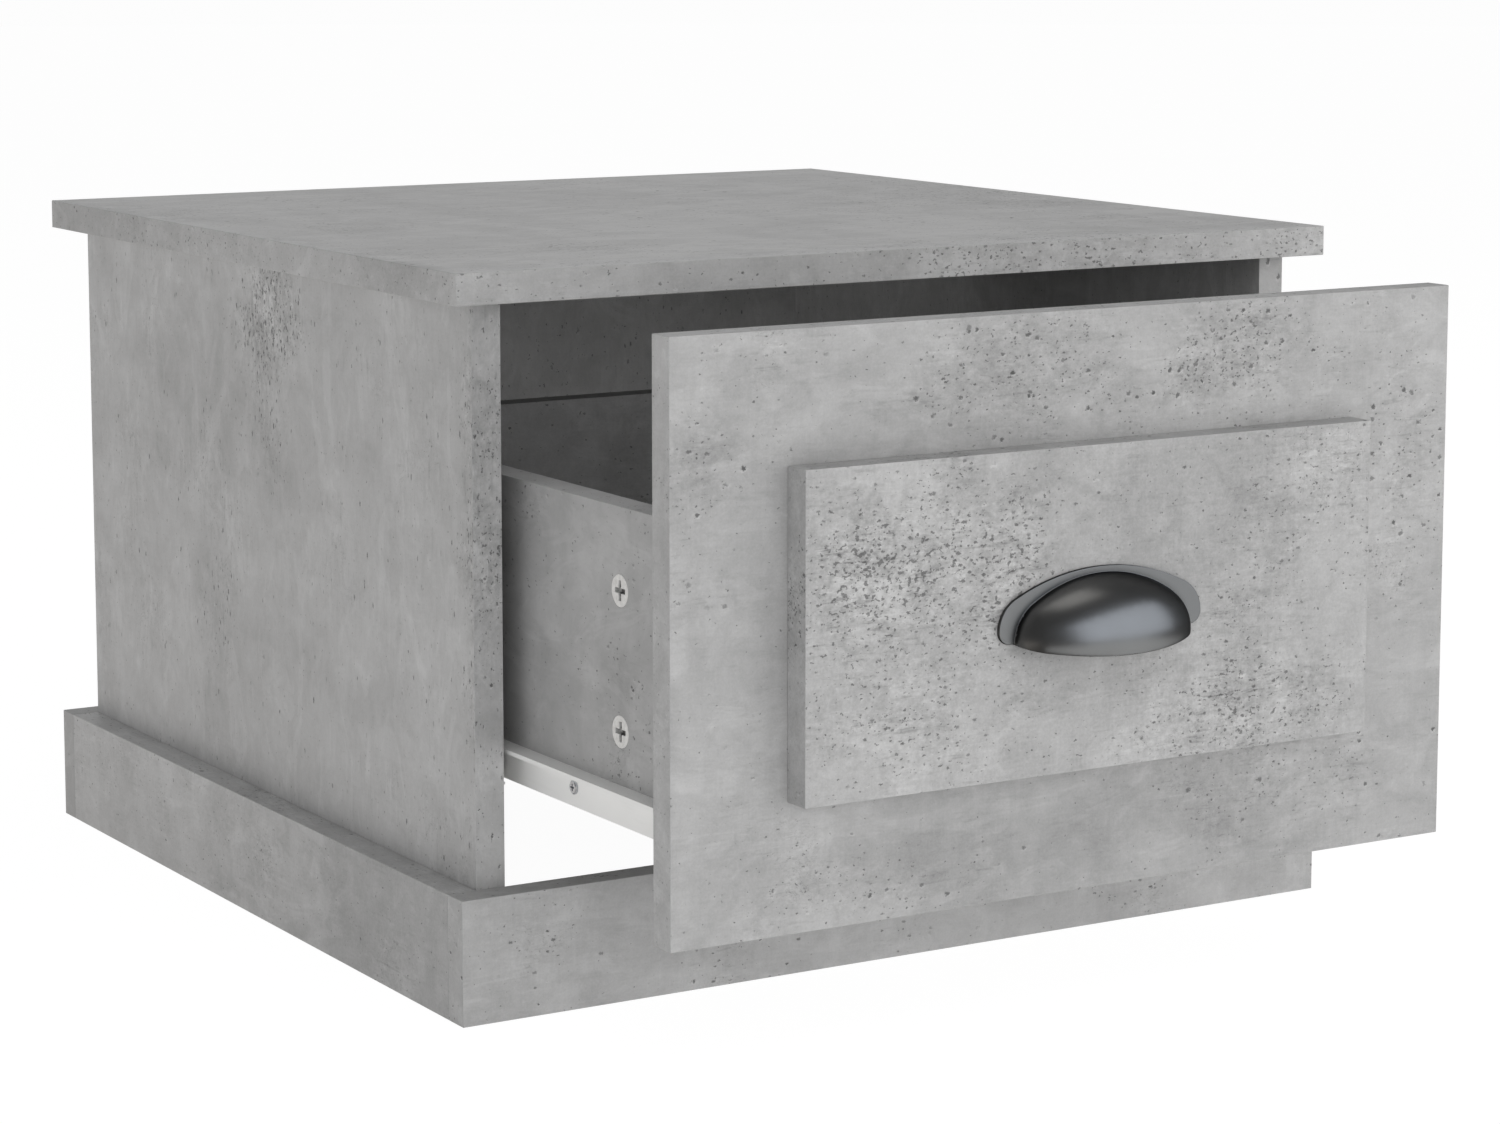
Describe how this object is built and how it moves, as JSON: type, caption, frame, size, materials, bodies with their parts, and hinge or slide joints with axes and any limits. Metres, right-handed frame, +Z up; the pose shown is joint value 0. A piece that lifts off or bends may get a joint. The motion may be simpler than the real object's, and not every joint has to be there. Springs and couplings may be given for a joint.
{
  "type": "side table with drawer",
  "caption": "Square side table with an overhanging top, a wrap-around plinth and an inset drawer on roller runners; the drawer front has a raised panel and a cup pull.",
  "frame": {"origin": "on the floor, under the middle of the table as stored with the drawer part open", "axes": "+Z up, the drawer opens towards -Y, +X to the right of someone who faces the drawer"},
  "size_m": [0.5, 0.677, 0.35],
  "materials": {
    "faced_board": "particle board with matt mid-grey concrete-look foil, fine streaks and small dark pits",
    "bottom_sheet": "thin matt grey hardboard",
    "epoxy_steel": "off-white epoxy-coated steel sheet",
    "nylon": "white nylon",
    "zinc": "zinc-plated steel and die-cast zinc",
    "gunmetal": "satin dark gunmetal",
    "dowel_wood": "plain beech"
  },
  "bodies": {
    "cabinet": {"top_panel": "faced_board", "left_side_panel": "faced_board", "right_side_panel": "faced_board", "back_panel": "faced_board", "plinth_front": "faced_board", "plinth_back": "faced_board", "plinth_left": "faced_board", "plinth_right": "faced_board", "left_cabinet_runner": "epoxy_steel", "right_cabinet_runner": "epoxy_steel", "front_roller_axles": "zinc", "cabinet_runner_screws": "zinc", "top_cam_locks": "zinc", "top_cam_bolts": "zinc", "carcass_dowels": "dowel_wood", "plinth_screws": "zinc"},
    "drawer": {"drawer_front": "faced_board", "drawer_raised_panel": "faced_board", "drawer_left_side": "faced_board", "drawer_right_side": "faced_board", "drawer_back": "faced_board", "drawer_bottom": "bottom_sheet", "cup_pull": "gunmetal", "cup_pull_screws": "zinc", "raised_panel_screws": "zinc", "drawer_cam_locks": "zinc", "drawer_cam_bolts": "zinc", "drawer_dowels": "dowel_wood", "drawer_back_screws": "zinc", "left_drawer_runner": "epoxy_steel", "right_drawer_runner": "epoxy_steel", "drawer_runner_screws": "zinc", "rear_roller_axles": "zinc"},
    "left_front_roller": {"left_front_roller": "nylon"},
    "right_front_roller": {"right_front_roller": "nylon"},
    "left_rear_roller": {"left_rear_roller": "nylon"},
    "right_rear_roller": {"right_rear_roller": "nylon"}
  },
  "joints": [
    {"name": "drawer_slide", "type": "slide", "parent": "cabinet", "child": "drawer", "axis": [0, -1, 0], "range_m": [-0.15, 0.15]},
    {"name": "left_front_roller_spin", "type": "hinge", "parent": "cabinet", "child": "left_front_roller", "pos_m": [-0.2132, -0.1215, 0.1152], "axis": [1, 0, 0], "continuous": true},
    {"name": "left_rear_roller_spin", "type": "hinge", "parent": "drawer", "child": "left_rear_roller", "pos_m": [-0.2126, 0.1115, 0.1129], "axis": [1, 0, 0], "continuous": true},
    {"name": "right_front_roller_spin", "type": "hinge", "parent": "cabinet", "child": "right_front_roller", "pos_m": [0.2132, -0.1215, 0.1152], "axis": [1, 0, 0], "continuous": true},
    {"name": "right_rear_roller_spin", "type": "hinge", "parent": "drawer", "child": "right_rear_roller", "pos_m": [0.2126, 0.1115, 0.1129], "axis": [1, 0, 0], "continuous": true}
  ],
  "couplings": [
    {"joint": "left_front_roller_spin", "follows": "drawer_slide", "rad_per_m": 131.58},
    {"joint": "left_rear_roller_spin", "follows": "drawer_slide", "rad_per_m": 133.33},
    {"joint": "right_front_roller_spin", "follows": "drawer_slide", "rad_per_m": 131.58},
    {"joint": "right_rear_roller_spin", "follows": "drawer_slide", "rad_per_m": 133.33}
  ]
}
